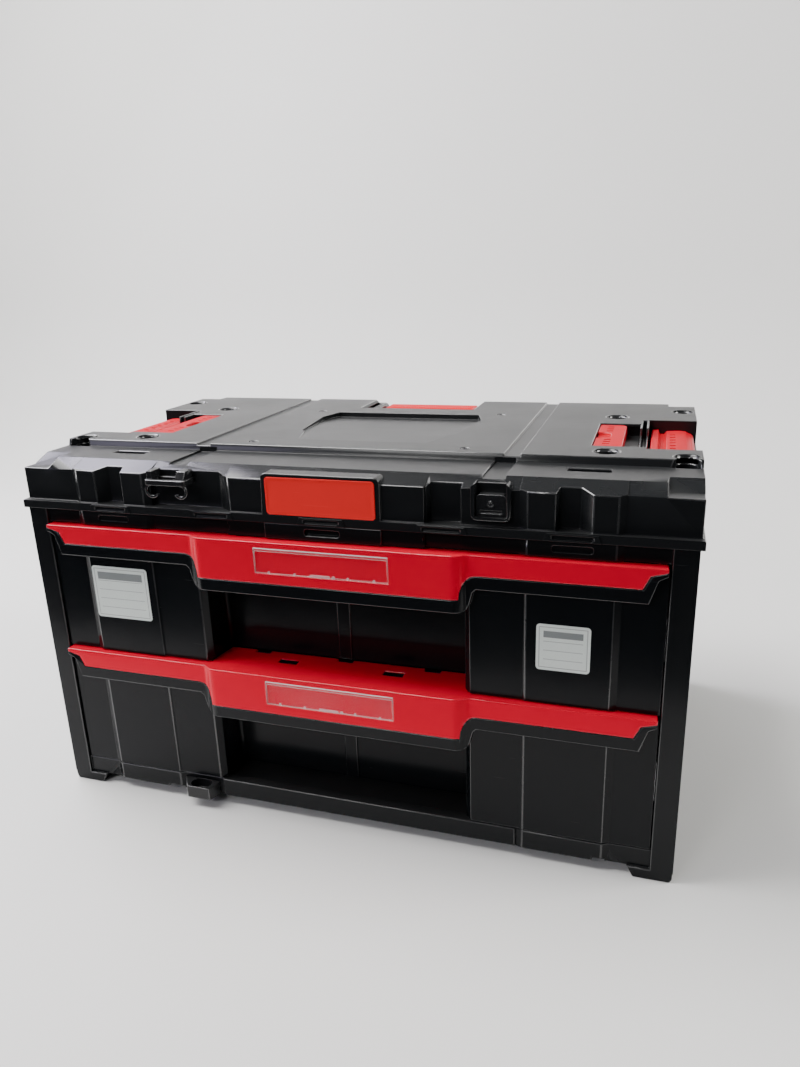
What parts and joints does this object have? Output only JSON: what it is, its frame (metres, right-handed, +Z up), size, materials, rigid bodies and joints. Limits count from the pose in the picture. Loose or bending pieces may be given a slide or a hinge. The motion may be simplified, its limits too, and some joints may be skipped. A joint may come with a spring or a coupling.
{
  "type": "portable tool box with drawers",
  "caption": "Portable stacking tool box with full-width drawers on ball bearing slides, side latches with sliding locks and a folding rear carry handle.",
  "frame": {"origin": "bottom centre of the closed box's bounding box", "axes": "+X to the right seen from the front, -Y out of the front, +Z up"},
  "size_m": [0.576, 0.368, 0.3328],
  "materials": {
    "shell": "fine spark-eroded grain, satin",
    "drawer": "fine grain, satin",
    "red_gloss": "smooth, glossy",
    "red_satin": "smooth, half gloss",
    "clear": "clear polished plastic",
    "paper": "plain white self-adhesive paper",
    "zinc_steel": "zinc plated",
    "dark_screw": "black zinc plated",
    "ball_steel": "polished"
  },
  "bodies": {
    "cabinet": {"cabinet_shell": "shell", "back_panel": "shell", "back_screws": "dark_screw", "top_shell": "shell", "deck_stiffener": "shell", "deck_screws": "dark_screw", "corner_screws": "dark_screw", "name_plate": "red_satin", "bar_loop": "shell", "loop_screws": "dark_screw", "loop_blank": "shell", "bar_socket": "shell", "left_latch_pin": "zinc_steel", "right_latch_pin": "zinc_steel", "handle_pins": "zinc_steel", "upper_left_channel": "zinc_steel", "upper_right_channel": "zinc_steel", "lower_left_channel": "zinc_steel", "lower_right_channel": "zinc_steel", "slide_screws": "zinc_steel"},
    "upper_drawer": {"upper_tub": "drawer", "upper_cap": "red_gloss", "upper_window": "clear", "upper_left_runner": "zinc_steel", "upper_right_runner": "zinc_steel", "left_label": "paper", "right_label": "paper"},
    "lower_drawer": {"lower_tub": "drawer", "lower_cap": "red_gloss", "lower_window": "clear", "lower_left_runner": "zinc_steel", "lower_right_runner": "zinc_steel"},
    "upper_retainers": {"upper_cages": "zinc_steel", "upper_balls": "ball_steel"},
    "lower_retainers": {"lower_cages": "zinc_steel", "lower_balls": "ball_steel"},
    "left_lever": {"left_latch": "red_satin"},
    "right_lever": {"right_latch": "red_satin"},
    "left_slider": {"left_lock": "red_satin"},
    "right_slider": {"right_lock": "red_satin"},
    "handle": {"carry_handle": "red_satin"}
  },
  "joints": [
    {"name": "upper_drawer_slide", "type": "slide", "parent": "cabinet", "child": "upper_drawer", "axis": [0, -1, 0], "range_m": [0, 0.225]},
    {"name": "lower_drawer_slide", "type": "slide", "parent": "cabinet", "child": "lower_drawer", "axis": [0, -1, 0], "range_m": [0, 0.225]},
    {"name": "upper_retainer_roll", "type": "slide", "parent": "cabinet", "child": "upper_retainers", "axis": [0, -1, 0], "range_m": [0, 0.1125]},
    {"name": "lower_retainer_roll", "type": "slide", "parent": "cabinet", "child": "lower_retainers", "axis": [0, -1, 0], "range_m": [0, 0.1125]},
    {"name": "left_lever_hinge", "type": "hinge", "parent": "cabinet", "child": "left_lever", "pos_m": [-0.279, -0.0055, 0.317], "axis": [0, -1, 0], "range_deg": [0, 95]},
    {"name": "right_lever_hinge", "type": "hinge", "parent": "cabinet", "child": "right_lever", "pos_m": [0.279, -0.0055, 0.317], "axis": [0, 1, 0], "range_deg": [0, 95]},
    {"name": "left_slider_travel", "type": "slide", "parent": "cabinet", "child": "left_slider", "axis": [-1, 0, 0], "range_m": [0, 0.0115]},
    {"name": "right_slider_travel", "type": "slide", "parent": "cabinet", "child": "right_slider", "axis": [1, 0, 0], "range_m": [0, 0.0115]},
    {"name": "carry_handle_hinge", "type": "hinge", "parent": "cabinet", "child": "handle", "pos_m": [0, 0.1735, 0.2628], "axis": [-1, 0, 0], "range_deg": [0, 90]}
  ],
  "couplings": [
    {"joint": "upper_retainer_roll", "follows": "upper_drawer_slide", "ratio": 0.5},
    {"joint": "lower_retainer_roll", "follows": "lower_drawer_slide", "ratio": 0.5}
  ]
}
